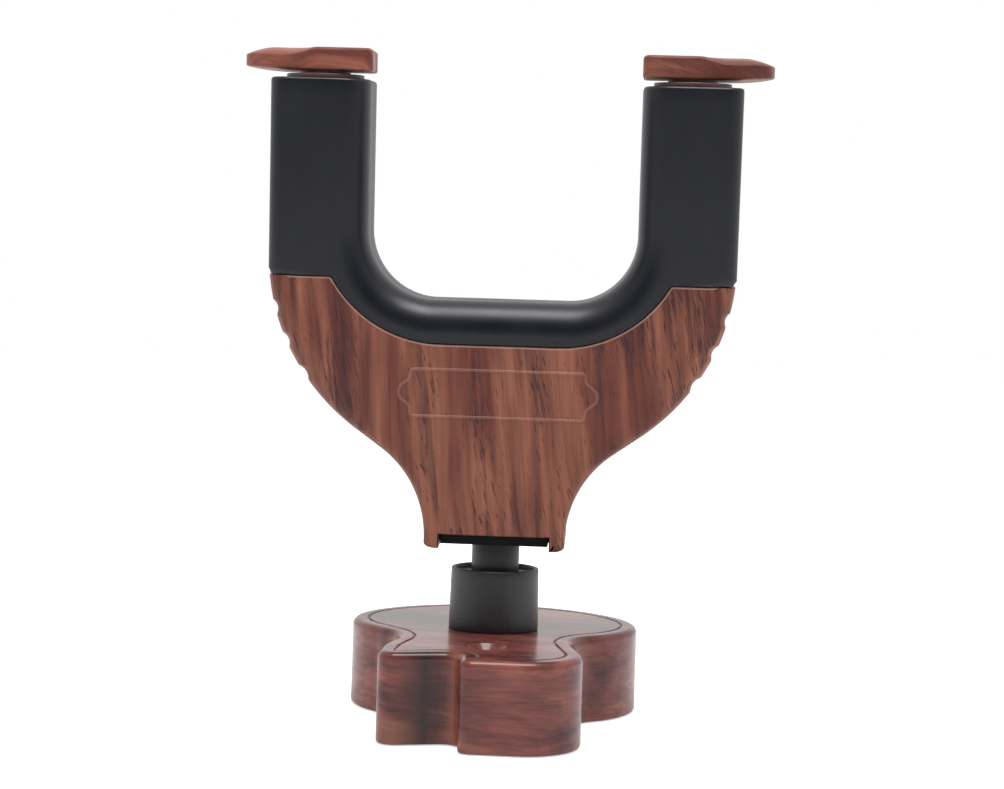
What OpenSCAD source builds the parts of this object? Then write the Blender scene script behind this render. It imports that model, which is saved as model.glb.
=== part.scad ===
// Wall guitar hanger: a wooden base block in a guitar's outline, a swivelling
// stem, and a U-shaped yoke that tilts under the instrument's weight and turns
// a gate across the opening at each arm's tip.
//
// Frame: the wall face lies on z = 0, +Z points out of the wall along the stem,
// the origin is on the stem's axis. -Y is up on the wall, +X is to the right
// for someone above the hanger looking down the wall.

/* [Base] */
// Thickness of the wooden block, mm
base_thickness = 18; // [17:0.5:20]
// Distance between the two wall screws, mm
screw_spacing = 50; // [48:0.5:51]
// Wall screw hole diameter, mm
screw_hole_d = 4.5; // [4:0.1:5]
// Countersink diameter, mm
countersink_d = 8.8; // [8:0.1:9.5]
// Distance of the engraved line from the outline, mm
groove_inset = 3.4; // [3:0.1:3.5]
// Width of the engraved line, mm
groove_width = 0.7; // [0.5:0.1:0.7]

/* [Yoke] */
// Clear width between the two padded arms, mm
neck_gap = 55.6; // [55:0.2:56]
// Width of each arm, mm
arm_width = 20.2; // [20.1:0.1:20.4]
// Depth of the arms and of the yoke's body, mm
yoke_depth = 22; // [22:0.5:24]
// Height of the arms' tops above the wall, mm
arm_top = 131.9; // [128:0.5:136]
// Upward lean of the empty yoke, degrees
lean = 4.5; // [4:0.1:5]
// Rounding of the pads' edges, mm
pad_round = 6; // [5:0.5:7]
// Wall thickness of the two shells, mm
shell_wall = 1.7; // [1.5:0.1:1.8]

/* [Lock] */
// Gate length from the shaft to the inner end, mm
gate_tail = 10.4; // [10:0.1:10.6]
// Gate shaft diameter, mm
shaft_d = 6; // [5.8:0.1:6]
// Running clearance of shafts in their bushes, mm on the radius
run_gap = 0.05; // [0.03:0.01:0.08]

/* [Output] */
// Sub-part to draw

/* [Hidden] */
$fn = 64;
e = 0.01;

// heights on the straight, unleaned yoke
hinge_z = 42;
barrel_r = 5.6;
ear_bottom = 36.4;
face_bottom = 39.1;
seam_z = 91.8;
seam_flat_z = 78.6;
seam_half = 12;
seam_r = 25.95;
corner_r = 14;
corner_z = 101.3;

half_w = neck_gap / 2 + arm_width;
arm_x = neck_gap / 2 + arm_width / 2;
corner_x = neck_gap / 2 - corner_r;
hd = yoke_depth / 2;
face_t = 1.8;
fy = hd - face_t - 0.05;

// body outline: one convex arc, a short straight, one concave arc
body_r = 44;
body_z = 96.2;
turn = 54.7;
waist_r = 22;
waist_x = 36.65;
waist_z = 38.45;

// lock mechanism
lever_top = 75.5;
lever_tip_r = 2.2;
lever_half = 1.6;
lever_h = lever_top - hinge_z;
bar_rest_y = lever_h * sin(lean);
crank_r = 3.371;
crank_rest = 60;
crank_pin_r = 1.2;
bar_z0 = 74;
bar_z1 = 77;
bar_half = 4;
slot_y = bar_rest_y + 0.291;
crank_z0 = 78.2;
crank_z1 = 81.8;
guide_x = 22;
shaft_r = shaft_d / 2;

// collar and stem
stem_r = 5;
cross_z = 37.3;
tail_r = 4;
collar_top = base_thickness + 12.9;
pocket_z = 9.5;

wood = [0.36, 0.17, 0.12];
print_wood = [0.45, 0.22, 0.16];
black = [0.09, 0.09, 0.10];
pad_black = [0.13, 0.14, 0.15];
steel = [0.66, 0.67, 0.69];
zinc = [0.74, 0.74, 0.72];
nylon = [0.16, 0.16, 0.17];
cast = [0.58, 0.59, 0.61];
bronze = [0.34, 0.20, 0.14];

function arc(cx, cy, r, a0, a1, n) =
    [for (i = [0:n]) [cx + r * cos(a0 + (a1 - a0) * i / n),
                      cy + r * sin(a0 + (a1 - a0) * i / n)]];
function at_least(v, lo) = v < lo ? lo : v;
function flip(p) = [for (i = [len(p) - 1:-1:0]) [-p[i][0], p[i][1]]];

// guitar outline with one cutaway, moved inwards by d: each arc keeps its centre
function guitar(d) = concat(
    arc(-0.2, 3.2, 33 - d, 90, 34, 11),
    arc(10, 10.2, 20.5 - d, 32, -48, 16),
    arc(28.8, -16.1, 12 + d, 132, 191, 10),
    arc(7.4, -31.5, 12 - d, 11, -90, 16),
    arc(-2.6, -41.3, at_least(2.2 - d, 0.3), -90, -178, 6),
    arc(-8, -38.4, 3.2 + d, 2, 107, 13),
    arc(-17.2, -34.3, at_least(3.4 - d, 0.3), -73, -180, 8),
    arc(-8.6, -28, 12 - d, 180, 165, 3),
    arc(-30.6, -16, 12 + d, -18, 48, 11),
    arc(-10.4, 10.2, 20.5 - d, 228, 148, 16),
    arc(-0.2, 3.2, 33 - d, 146, 91, 11));

function body_side(d) = concat(
    [[half_w - d, seam_z]],
    arc(half_w - body_r, body_z, body_r - d, -6, -turn, 22),
    arc(waist_x, waist_z, waist_r + d, 180 - turn, 180, 12),
    [[waist_x - waist_r - d, ear_bottom]]);

module body2d(d) { polygon(concat(body_side(d), flip(body_side(d)))); }

// flat shape in X and Z, given depth from y0 to y1
module plate(y0, y1) {
    translate([0, y1, 0]) rotate([90, 0, 0]) linear_extrude(y1 - y0) children();
}

module box(x0, x1, y0, y1, z0, z1) {
    translate([x0, y0, z0]) cube([x1 - x0, y1 - y0, z1 - z0]);
}

module rod_y(x, z, r, y0, y1) {
    translate([x, y1, z]) rotate([90, 0, 0]) cylinder(r = r, h = y1 - y0);
}

module rod_x(y, z, r, x0, x1) {
    translate([x0, y, z]) rotate([0, 90, 0]) cylinder(r = r, h = x1 - x0);
}

// tips the straight yoke towards -Y about the hinge
module leaned() {
    translate([0, 0, hinge_z]) rotate([lean, 0, 0]) translate([0, 0, -hinge_z]) children();
}

module right_side() { children(); }
module left_side() { mirror([1, 0, 0]) children(); }

// ---------------------------------------------------------------- base

module base_block() color(wood) {
    difference() {
        linear_extrude(base_thickness) polygon(guitar(0));
        translate([0, 0, pocket_z]) cylinder(r = 7.05, h = base_thickness);
        translate([0, 0, -1]) cylinder(r = 13, h = pocket_z + 1);
        for (s = [-1, 1]) translate([0, s * screw_spacing / 2, 0]) {
            translate([0, 0, -1]) cylinder(d = screw_hole_d, h = base_thickness + 2);
            translate([0, 0, base_thickness - (countersink_d - screw_hole_d) / 2])
                cylinder(d1 = screw_hole_d, d2 = countersink_d + 2 * e, h = (countersink_d - screw_hole_d) / 2 + e);
        }
        translate([0, 0, base_thickness - 0.5]) linear_extrude(1) difference() {
            polygon(guitar(groove_inset - groove_width / 2));
            polygon(guitar(groove_inset + groove_width / 2));
        }
    }
}

module collar() color(black) {
    difference() {
        union() {
            translate([0, 0, base_thickness]) cylinder(r1 = 9.45, r2 = 9.2, h = collar_top - base_thickness);
            translate([0, 0, 4.6]) cylinder(r = 6.9, h = base_thickness - 4.5);
        }
        translate([0, 0, 4]) cylinder(r = 5.5, h = 20);
        translate([0, 0, base_thickness + 0.8]) cylinder(r = 6.5, h = 20);
        translate([0, 0, collar_top - 2]) cylinder(r = 8.35, h = 5);
    }
}

module collar_washer() color(zinc) {
    difference() {
        translate([0, 0, 8.93]) cylinder(r = 12.5, h = 0.56);
        translate([0, 0, 8]) cylinder(r = 7.1, h = 3);
    }
}

module collar_nut() color(zinc) {
    difference() {
        translate([0, 0, 5.2]) cylinder(r = 11.5, h = 3.7, $fn = 6);
        translate([0, 0, 4]) cylinder(r = 6.92, h = 6);
    }
}

module swivel_bush() color(nylon) {
    difference() {
        union() {
            translate([0, 0, base_thickness + 1.7]) cylinder(r = 6.47, h = collar_top - base_thickness - 3.6);
            translate([0, 0, collar_top - 1.98]) cylinder(r = 8.32, h = 0.98);
        }
        translate([0, 0, base_thickness]) cylinder(r = stem_r + run_gap, h = 20);
    }
}

module lower_bush() color(nylon) {
    difference() {
        translate([0, 0, 4.8]) cylinder(r = 5.47, h = base_thickness + 0.7 - 4.8);
        translate([0, 0, 4]) cylinder(r = tail_r + run_gap, h = 20);
    }
}

module thrust_washer() color(steel) {
    difference() {
        translate([0, 0, base_thickness + 0.83]) cylinder(r = 6.4, h = 0.74);
        translate([0, 0, base_thickness]) cylinder(r = tail_r + run_gap, h = 4);
    }
}

// ---------------------------------------------------------------- stem

module stem() color(black) {
    difference() {
        union() {
            translate([0, 0, base_thickness + 1.6]) cylinder(r = stem_r, h = ear_bottom - 0.02 - base_thickness - 1.6);
            translate([0, 0, 33]) cylinder(r = 3.5, h = 5.3);
            translate([0, 0, 0.8]) cylinder(r = tail_r, h = base_thickness + 2);
        }
        rod_y(0, cross_z, 0.77, -4.5, 6);
    }
}

module tilt_head() color(black) {
    difference() {
        union() {
            rod_x(0, hinge_z, barrel_r, -11.3, 11.3);
            box(-11.1, 11.1, -8.8, 8.6, ear_bottom, ear_bottom + 2.3);
            box(-4, 4, -lever_half, lever_half, hinge_z + 3, lever_top);
            rod_x(0, lever_top, lever_tip_r, -4, 4);
        }
        rod_x(0, hinge_z, 3 + run_gap, -12, 12);
        translate([0, 0, 33]) cylinder(r = 3.52, h = 5.4);
        rod_y(0, cross_z, 0.77, -4.5, 10);
    }
}

module head_cross_pin() color(steel) rod_y(0, cross_z, 0.75, -4.4, 8.4);

module friction_washer() color(steel) {
    difference() {
        translate([0, 0, 4.0]) cylinder(r = 6.8, h = 0.56);
        translate([0, 0, 3]) cylinder(r = tail_r + 0.03, h = 3);
    }
}

module stem_nut() color(zinc) {
    difference() {
        translate([0, 0, 1]) cylinder(r = 7.5, h = 2.97, $fn = 6);
        cylinder(r = tail_r + 0.02, h = 6);
    }
}

// ---------------------------------------------------------------- yoke

// the U-shaped opening, grown by g
module u_open(g) {
    translate([-neck_gap / 2 - g, corner_z]) square([neck_gap + 2 * g, 60]);
    translate([-corner_x, corner_z - corner_r - g]) square([2 * corner_x, 40]);
    for (s = [-1, 1]) translate([s * corner_x, corner_z]) circle(r = corner_r + g);
}

// everything above the line where wood print meets rubber
module above_seam(g) {
    translate([-seam_half, seam_flat_z - g]) square([2 * seam_half, 40]);
    for (s = [-1, 1]) translate([s * seam_half, seam_flat_z + seam_r]) circle(r = seam_r + g);
}

module shell2d(d) {
    difference() {
        body2d(d);
        above_seam(0);
        translate([-11.45, 30]) square([22.9, face_bottom - 30]);
    }
}

module notches() {
    for (s = [-1, 1]) for (p = [[46.5, 85.1], [44.35, 78.4], [40.6, 71.7]])
        rod_y(s * (p[0] + 1.2), p[1], 1.7, -hd - 1, hd + 1);
}

// half shell on the -Y side
module half_shell() {
    difference() {
        union() {
            plate(-hd + 2, 0) shell2d(0);
            plate(-hd + 0.8, -hd + 2) shell2d(0.6);
            plate(-hd, -hd + 0.8) shell2d(1.5);
        }
        plate(-hd + face_t, 1) difference() {
            body2d(shell_wall);
        }
        box(-11.45, 11.45, -hd - 1, 1, 30, face_bottom);
        box(-half_w, half_w, -hd + face_t, 1, 30, ear_bottom + e);
        notches();
    }
}

bosses = [[17.5, 57.5], [31, 69]];

// generic plain frame engraved on the face: a rectangle with bowed ends
module face_frame2d(g) {
    translate([-18.1 - g, 63.85 - g]) square([36.2 + 2 * g, 9.4 + 2 * g]);
    for (s = [-1, 1]) translate([s * 15.4, 68.55]) circle(r = 4.85 + g);
}

module front_shell() color(print_wood) leaned() {
    difference() {
        union() {
            half_shell();
            for (s = [-1, 1]) for (b = bosses) rod_y(s * b[0], b[1], 3, -hd + face_t - e, 0);
        }
        for (s = [-1, 1]) for (b = bosses) rod_y(s * b[0], b[1], 1.1, -7.5, 1);
        plate(-hd - 1, -hd + 0.25) difference() {
            face_frame2d(0.3);
            face_frame2d(-0.3);
        }
    }
}

module rear_shell() color(print_wood) leaned() {
    difference() {
        union() {
            mirror([0, 1, 0]) half_shell();
            for (s = [-1, 1]) for (b = bosses) rod_y(s * b[0], b[1], 3.8, 0.02, hd - face_t + e);
        }
        for (s = [-1, 1]) for (b = bosses) {
            rod_y(s * b[0], b[1], 1.6, -1, hd + 1);
            rod_y(s * b[0], b[1], 2.8, 7.2, hd + 1);
        }
    }
}

module shell_screws() color(black) leaned() {
    for (s = [-1, 1]) for (b = bosses) difference() {
        union() {
            rod_y(s * b[0], b[1], 1.05, -7, 7.4);
            rod_y(s * b[0], b[1], 2.6, 7.25, 9.2);
        }
        box(s * b[0] - 1.6, s * b[0] + 1.6, 8.3, 10, b[1] - 0.3, b[1] + 0.3);
        box(s * b[0] - 0.3, s * b[0] + 0.3, 8.3, 10, b[1] - 1.6, b[1] + 1.6);
    }
}

// metal core of the U, grown by c
module core2d(c) {
    difference() {
        union() {
            translate([-31.5 - c, 78.9 - c]) square([63 + 2 * c, 13 + 2 * c]);
            for (s = [-1, 1]) translate([s * 37.5 - 6.5 - c, 83 - c]) square([13 + 2 * c, 9 + 2 * c]);
        }
        u_open(2.7 - c);
    }
}

module yoke_frame() color(cast) leaned() {
    difference() {
        union() {
            plate(-7, 7) core2d(0);
            for (s = [-1, 1]) {
                translate([s * arm_x, 0, 86]) cylinder(r = 7, h = arm_top - 86);
                translate([s * 12.2, 0, 0]) {
                    box(-0.6, 0.6, -fy, fy, 43, 69);
                    rod_x(0, hinge_z, 5.4, -0.6, 0.6);
                    box(-0.6, 0.6, -5.4, 5.4, hinge_z, 46);
                }
                translate([s * guide_x, 0, 0]) {
                    box(-3, 3, -fy, -7.5, 72, 84);
                    box(-3, 3, -7.6, -6.9, 79, 84);
                }
            }
            box(-12.8, 12.8, 7.2, fy, 43, 80);
            box(-26, 26, 7.2, fy, 66, 84);
            box(-26, 26, 6.9, 7.3, 79, 84);
            box(-12.8, 12.8, -fy, -7.2, 50, 69);
        }
        rod_x(0, hinge_z, 3.02, -20, 20);
        for (s = [-1, 1]) {
            translate([s * arm_x, 0, 80]) cylinder(r = 3.6, h = 60);
            translate([s * arm_x, 0, 80]) cylinder(r = 4.5, h = 10);
            translate([s * arm_x, 0, arm_top - 7]) cylinder(r = 5, h = 10);
            rod_y(s * guide_x, lever_top, 1.52, -12, 12);
        }
    }
}

module hinge_pin() color(steel) leaned() rod_x(0, hinge_z, 3, -12.8, 12.8);

// pad cross-section from r0 outwards, rounded on the side that faces the neck
module pad_section(r0, w) {
    for (s = [-1, 1]) translate([r0 + pad_round, s * (hd - pad_round)]) circle(r = pad_round);
    translate([r0, -hd + pad_round]) square([w, 2 * (hd - pad_round)]);
    translate([r0 + pad_round, -hd]) square([w - pad_round, 2 * hd]);
}

module pads() {
    difference() {
        intersection() {
            // outline in X and Z
            plate(-hd - 1, hd + 1) {
                translate([-half_w, seam_z + 0.1]) square([2 * half_w, arm_top - seam_z - 0.1]);
                intersection() {
                    above_seam(-0.1);
                    translate([-half_w, seam_flat_z]) square([2 * half_w, seam_z - seam_flat_z + 1]);
                }
            }
            // rounded outer edges
            translate([0, 0, 60]) linear_extrude(80) {
                for (s = [-1, 1]) for (t = [-1, 1])
                    translate([s * (half_w - pad_round), t * (hd - pad_round)]) circle(r = pad_round);
                translate([-half_w, -hd + pad_round]) square([2 * half_w, 2 * (hd - pad_round)]);
                translate([-half_w + pad_round, -hd]) square([2 * (half_w - pad_round), 2 * hd]);
            }
            // rounded edges along the U
            union() {
                for (s = [0, 1]) mirror([s, 0, 0]) {
                    translate([0, 0, corner_z]) linear_extrude(arm_top - corner_z + 1) pad_section(neck_gap / 2, 40);
                    translate([corner_x, 0, corner_z]) rotate([90, 0, 0]) rotate([0, 0, -90])
                        rotate_extrude(angle = 90) pad_section(corner_r, 40);
                }
                translate([-corner_x, 0, corner_z]) rotate([0, 90, 0])
                    linear_extrude(2 * corner_x) pad_section(corner_r, 40);
            }
        }
        plate(-7.05, 7.05) core2d(0.05);
        box(-31.55, 31.55, -7.05, 7.05, 70, 79);
        for (s = [-1, 1]) translate([s * arm_x, 0, 70]) cylinder(r = 7.05, h = 80);
        for (s = [-1, 1]) box(s * guide_x - 3.05, s * guide_x + 3.05, -fy - 0.05, -6.5, 70, 84.05);
        box(-26.05, 26.05, 6.5, fy + 0.05, 70, 84.05);
        box(-half_w, half_w, -0.05, 0.05, 60, 140);
    }
}

module front_pad() color(pad_black) leaned() {
    intersection() { pads(); box(-60, 60, -20, 0, 60, 140); }
}

module rear_pad() color(pad_black) leaned() {
    intersection() { pads(); box(-60, 60, 0, 20, 60, 140); }
}

module upper_bush() {
    translate([arm_x, 0, 0]) difference() {
        union() {
            translate([0, 0, arm_top - 6.9]) cylinder(r = 4.97, h = 7);
            translate([0, 0, arm_top + 0.03]) cylinder(r = 8, h = 0.95);
        }
        translate([0, 0, arm_top - 10]) cylinder(r = shaft_r + run_gap, h = 20);
    }
}

module upper_bush_left() color(bronze) leaned() left_side() upper_bush();
module upper_bush_right() color(bronze) leaned() right_side() upper_bush();

module arm_bush() {
    translate([arm_x, 0, 0]) difference() {
        union() {
            translate([0, 0, 82.9]) cylinder(r = 4.47, h = 7);
            translate([0, 0, 82.0]) cylinder(r = 5.4, h = 0.95);
        }
        translate([0, 0, 80]) cylinder(r = shaft_r + run_gap, h = 20);
    }
}

module arm_bush_left() color(nylon) leaned() left_side() arm_bush();
module arm_bush_right() color(nylon) leaned() right_side() arm_bush();

module guide_pins() color(steel) leaned() {
    for (s = [-1, 1]) rod_y(s * guide_x, lever_top, 1.5, -fy, fy);
}

// coil between the frame's front member and the lever
module return_spring() color(steel) leaned() {
    translate([0, -0.78, 57]) rotate([90, 0, 0])
        linear_extrude(height = 6.34, twist = 360 * 3.5, slices = 42, $fn = 6)
            translate([3.3, 0]) circle(r = 0.5, $fn = 6);
}

module stop_pads() color(pad_black) leaned() {
    rod_y(0, 64, 2.5, 3.75, 7.18);
    rod_y(0, 66, 2.5, -7.18, -4.35);
}

// ---------------------------------------------------------------- lock

module crossbar() color(steel) leaned() {
    difference() {
        translate([0, bar_rest_y, 0]) union() {
            box(-39.2, 39.2, -bar_half, bar_half, bar_z0, bar_z1);
            for (s = [-1, 1]) translate([s * guide_x, 0, 0]) box(-3.5, 3.5, -bar_half, bar_half, 72.8, 78.2);
        }
        box(-4.3, 4.3, bar_rest_y - lever_tip_r - 0.15, bar_rest_y + lever_tip_r + 0.15, 70, 80);
        for (s = [-1, 1]) {
            rod_y(s * guide_x, lever_top, 1.53, -20, 20);
            translate([s * (arm_x - 2.55), slot_y, 0])
                box(-2.25, 2.25, -crank_pin_r - 0.3, crank_pin_r + 0.3, 70, 80);
        }
    }
}

// outline of a gate, moved inwards by d, with +x away from the opening
function gate_pts(d) = concat(
    arc(1.6 - gate_tail, -5.6, 1.6 - d / 3, 180, 270, 5),
    arc(3.6, 6, 13.2 - d, -90, -5, 16),
    arc(12.1, 6.5, 4.7 - d, -5, 108, 12),
    arc(1.6 - gate_tail, 5.6, 1.6 - d / 3, 92, 180, 5));

gate_z = arm_top + 1.7;

module gate() {
    translate([arm_x, 0, 0]) difference() {
        union() {
            translate([0, 0, gate_z]) linear_extrude(0.6) polygon(gate_pts(0.5));
            translate([0, 0, gate_z + 0.6]) linear_extrude(2.4) polygon(gate_pts(0));
            translate([0, 0, gate_z + 3.0]) linear_extrude(0.7) polygon(gate_pts(0.8));
            intersection() {
                translate([0, 0, gate_z + 3.6]) linear_extrude(1.0) polygon(gate_pts(1.0));
                box(-20, 4.5, -20, 20, 0, 200);
            }
        }
        translate([0, 0, gate_z - 1]) cylinder(r = shaft_r + 0.03, h = 3.65);
        translate([0, 0, gate_z]) cylinder(r = 1.5, h = 10);
        translate([0, 0, gate_z + 3.0]) cylinder(r1 = 1.5, r2 = 3.15, h = 1.65);
    }
}

module gate_left() color(print_wood) leaned() left_side() gate();
module gate_right() color(print_wood) leaned() right_side() gate();

module gate_shaft() {
    translate([arm_x, 0, 0]) difference() {
        union() {
            translate([0, 0, crank_z0]) cylinder(r = shaft_r, h = gate_z + 2.6 - crank_z0);
            translate([0, 0, arm_top + 1.03]) cylinder(r = 5.15, h = 0.65);
        }
        translate([0, 0, gate_z - 6]) cylinder(r = 1.27, h = 20);
    }
}

module gate_shaft_left() color(black) leaned() left_side() gate_shaft();
module gate_shaft_right() color(black) leaned() right_side() gate_shaft();

module crank() {
    translate([arm_x, 0, 0]) difference() {
        union() {
            translate([0, 0, crank_z0]) cylinder(r = 4.2, h = crank_z1 - crank_z0);
            rotate([0, 0, 180 - crank_rest]) translate([crank_r, 0, 0]) {
                translate([0, 0, crank_z0]) cylinder(r = 2.2, h = crank_z1 - crank_z0);
                translate([0, 0, 73.3]) cylinder(r = crank_pin_r, h = 6);
            }
        }
        translate([0, 0, 78]) cylinder(r = shaft_r + 0.02, h = 10);
    }
}

module crank_left() color(steel) leaned() left_side() crank();
module crank_right() color(steel) leaned() right_side() crank();

module gate_screw() {
    translate([arm_x, 0, 0]) difference() {
        union() {
            translate([0, 0, gate_z - 5.8]) cylinder(r = 1.25, h = 9.7);
            translate([0, 0, gate_z + 3.05]) cylinder(r1 = 1.4, r2 = 2.85, h = 1.45);
        }
        box(-1.7, 1.7, -0.35, 0.35, gate_z + 3.8, gate_z + 6);
        box(-0.35, 0.35, -1.7, 1.7, gate_z + 3.8, gate_z + 6);
    }
}

module gate_screw_left() color(black) leaned() left_side() gate_screw();
module gate_screw_right() color(black) leaned() right_side() gate_screw();

base_block();
collar();
collar_washer();
collar_nut();
swivel_bush();
lower_bush();
thrust_washer();
stem();
tilt_head();
head_cross_pin();
friction_washer();
stem_nut();
yoke_frame();
hinge_pin();
front_shell();
rear_shell();
shell_screws();
front_pad();
rear_pad();
upper_bush_left();
upper_bush_right();
arm_bush_left();
arm_bush_right();
guide_pins();
return_spring();
stop_pads();
crossbar();
gate_left();
gate_right();
gate_shaft_left();
gate_shaft_right();
crank_left();
crank_right();
gate_screw_left();
gate_screw_right();
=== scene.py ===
"""Looks of the wall guitar hanger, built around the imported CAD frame."""
import math

import bmesh
import bpy
from mathutils import Matrix, Vector
from mathutils.geometry import delaunay_2d_cdt


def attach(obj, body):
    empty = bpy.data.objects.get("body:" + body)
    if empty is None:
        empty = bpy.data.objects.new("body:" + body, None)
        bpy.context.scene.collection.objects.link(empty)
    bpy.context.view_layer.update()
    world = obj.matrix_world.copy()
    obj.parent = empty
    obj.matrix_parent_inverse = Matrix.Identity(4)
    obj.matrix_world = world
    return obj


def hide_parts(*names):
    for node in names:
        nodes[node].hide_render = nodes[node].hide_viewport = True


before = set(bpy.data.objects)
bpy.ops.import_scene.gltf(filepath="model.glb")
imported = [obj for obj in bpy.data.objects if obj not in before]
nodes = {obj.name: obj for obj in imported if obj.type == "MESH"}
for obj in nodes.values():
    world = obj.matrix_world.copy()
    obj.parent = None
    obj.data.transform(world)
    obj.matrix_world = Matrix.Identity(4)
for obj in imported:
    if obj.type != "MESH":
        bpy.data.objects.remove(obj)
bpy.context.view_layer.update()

LEAN = math.radians(4.5)
HINGE = 42.0
HALF_W = 48.0
HD = 11.0
ARM_TOP = 131.9
ARM_X = 37.9


def cs(a):
    return math.cos(math.radians(a))


def sn(a):
    return math.sin(math.radians(a))


def leaned(p):
    x, y, z = p
    dz = z - HINGE
    return (
        x,
        y * math.cos(LEAN) - dz * math.sin(LEAN),
        HINGE + y * math.sin(LEAN) + dz * math.cos(LEAN),
    )


# ------------------------------------------------------------------ meshes


class Shape:
    """Collects vertices in millimetres and faces, then makes one object."""

    def __init__(self):
        self.bm = bmesh.new()

    def v(self, p):
        return self.bm.verts.new(Vector(p) * 0.001)

    def ring(self, pts):
        return [self.v(p) for p in pts]

    def face(self, vs):
        vs = [v for i, v in enumerate(vs) if v is not vs[i - 1]]
        if len(vs) > 2:
            try:
                return self.bm.faces.new(vs)
            except ValueError:
                return None

    def strip(self, a, b, closed=True):
        n = len(a)
        for i in range(n if closed else n - 1):
            j = (i + 1) % n
            self.face([a[i], a[j], b[j], b[i]])

    def loft(self, rings, closed=True):
        for a, b in zip(rings, rings[1:]):
            self.strip(a, b, closed)

    def fill(self, loops, u=0, w=1):
        """Fills a flat region whose outside and holes are the closed loops given, seen along the third axis."""
        vs, pts, edges = [], [], []
        for loop in loops:
            k = len(vs)
            for i, v in enumerate(loop):
                vs.append(v)
                pts.append(Vector((v.co[u] * 1000, v.co[w] * 1000)))
                edges.append((k + i, k + (i + 1) % len(loop)))
        out = delaunay_2d_cdt(pts, edges, [], 0, 1e-7)
        for tri in out[2]:
            if any(not out[3][i] for i in tri):
                continue
            ids = [out[3][i][0] for i in tri]
            cx = sum(pts[i].x for i in ids) / 3
            cy = sum(pts[i].y for i in ids) / 3
            inside = False
            for a, b in edges:
                pa, pb = pts[a], pts[b]
                if (pa.y > cy) != (pb.y > cy) and cx < (pb.x - pa.x) * (cy - pa.y) / (pb.y - pa.y) + pa.x:
                    inside = not inside
            if inside:
                self.face([vs[i] for i in ids])

    def make(self, name, material, angle=35, lean=False):
        bm = self.bm
        bmesh.ops.remove_doubles(bm, verts=bm.verts[:], dist=1e-7)
        bmesh.ops.recalc_face_normals(bm, faces=bm.faces[:])
        if lean:
            for v in bm.verts:
                x, y, z = leaned(v.co * 1000)
                v.co = Vector((x, y, z)) * 0.001
        me = bpy.data.meshes.new(name)
        bm.to_mesh(me)
        bm.free()
        for p in me.polygons:
            p.use_smooth = True
        me.set_sharp_from_angle(angle=math.radians(angle))
        me.materials.append(material)
        ob = bpy.data.objects.new(name, me)
        bpy.context.scene.collection.objects.link(ob)
        return ob


def circle(x, y, z, r, n=48, axis="z"):
    out = []
    for i in range(n):
        a = 360 * i / n
        if axis == "z":
            out.append((x + r * cs(a), y + r * sn(a), z))
        else:
            out.append((x + r * cs(a), y, z + r * sn(a)))
    return out


def weighted(ob):
    mod = ob.modifiers.new("normals", "WEIGHTED_NORMAL")
    mod.keep_sharp = True
    mod.weight = 80


# ------------------------------------------------------------------ materials


class Mat:
    """Small helper around a node material. Lengths in its textures are millimetres."""

    def __init__(self, name):
        self.m = bpy.data.materials.new(name)
        self.m.use_nodes = True
        self.t = self.m.node_tree
        self.bsdf = self.t.nodes["Principled BSDF"]
        tc = self.t.nodes.new("ShaderNodeTexCoord")
        self.normal = tc.outputs["Normal"]
        self.p = self.vmath("MULTIPLY", tc.outputs["Object"], (1000, 1000, 1000))

    def put(self, node, key, value):
        if value is None:
            return
        if hasattr(value, "links") and hasattr(value, "node"):
            self.t.links.new(value, node.inputs[key])
        else:
            node.inputs[key].default_value = value

    def vmath(self, op, a, b=None):
        n = self.t.nodes.new("ShaderNodeVectorMath")
        n.operation = op
        self.put(n, 0, a)
        self.put(n, 1, b)
        return n.outputs[0]

    def math(self, op, a, b=None, c=None, clamp=False):
        n = self.t.nodes.new("ShaderNodeMath")
        n.operation = op
        n.use_clamp = clamp
        self.put(n, 0, a)
        self.put(n, 1, b)
        self.put(n, 2, c)
        return n.outputs[0]

    def noise(self, vec, scale=(1, 1, 1), offset=(0, 0, 0), detail=3.0, rough=0.5, distort=0.0):
        v = self.vmath("MULTIPLY", vec, scale)
        v = self.vmath("ADD", v, offset)
        n = self.t.nodes.new("ShaderNodeTexNoise")
        self.put(n, "Vector", v)
        n.inputs["Scale"].default_value = 1.0
        n.inputs["Detail"].default_value = detail
        n.inputs["Roughness"].default_value = rough
        n.inputs["Distortion"].default_value = distort
        return n.outputs["Fac"]

    def ramp(self, fac, stops, interp="LINEAR"):
        n = self.t.nodes.new("ShaderNodeValToRGB")
        n.color_ramp.interpolation = interp
        els = n.color_ramp.elements
        while len(els) < len(stops):
            els.new(0.5)
        for el, (pos, col) in zip(els, stops):
            el.position = pos
            el.color = (*col, 1) if isinstance(col, tuple) else (col, col, col, 1)
        self.put(n, "Fac", fac)
        return n.outputs["Color"]

    def mix(self, fac, a, b, mode="MIX"):
        n = self.t.nodes.new("ShaderNodeMix")
        n.data_type = "RGBA"
        n.blend_type = mode
        self.put(n, 0, fac)
        for key, val in ((6, a), (7, b)):
            if isinstance(val, tuple) and len(val) == 3:
                val = (*val, 1)
            self.put(n, key, val)
        return n.outputs[2]

    def bump(self, height, strength=0.2, distance=0.0002, normal=None):
        n = self.t.nodes.new("ShaderNodeBump")
        n.inputs["Strength"].default_value = strength
        n.inputs["Distance"].default_value = distance
        self.put(n, "Height", height)
        if normal is not None:
            self.put(n, "Normal", normal)
        return n.outputs["Normal"]

    def set(self, **kw):
        for k, v in kw.items():
            key = k.replace("_", " ")
            if isinstance(v, tuple) and len(v) == 3:
                v = (*v, 1)
            self.put(self.bsdf, key, v)
        return self.m


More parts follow.
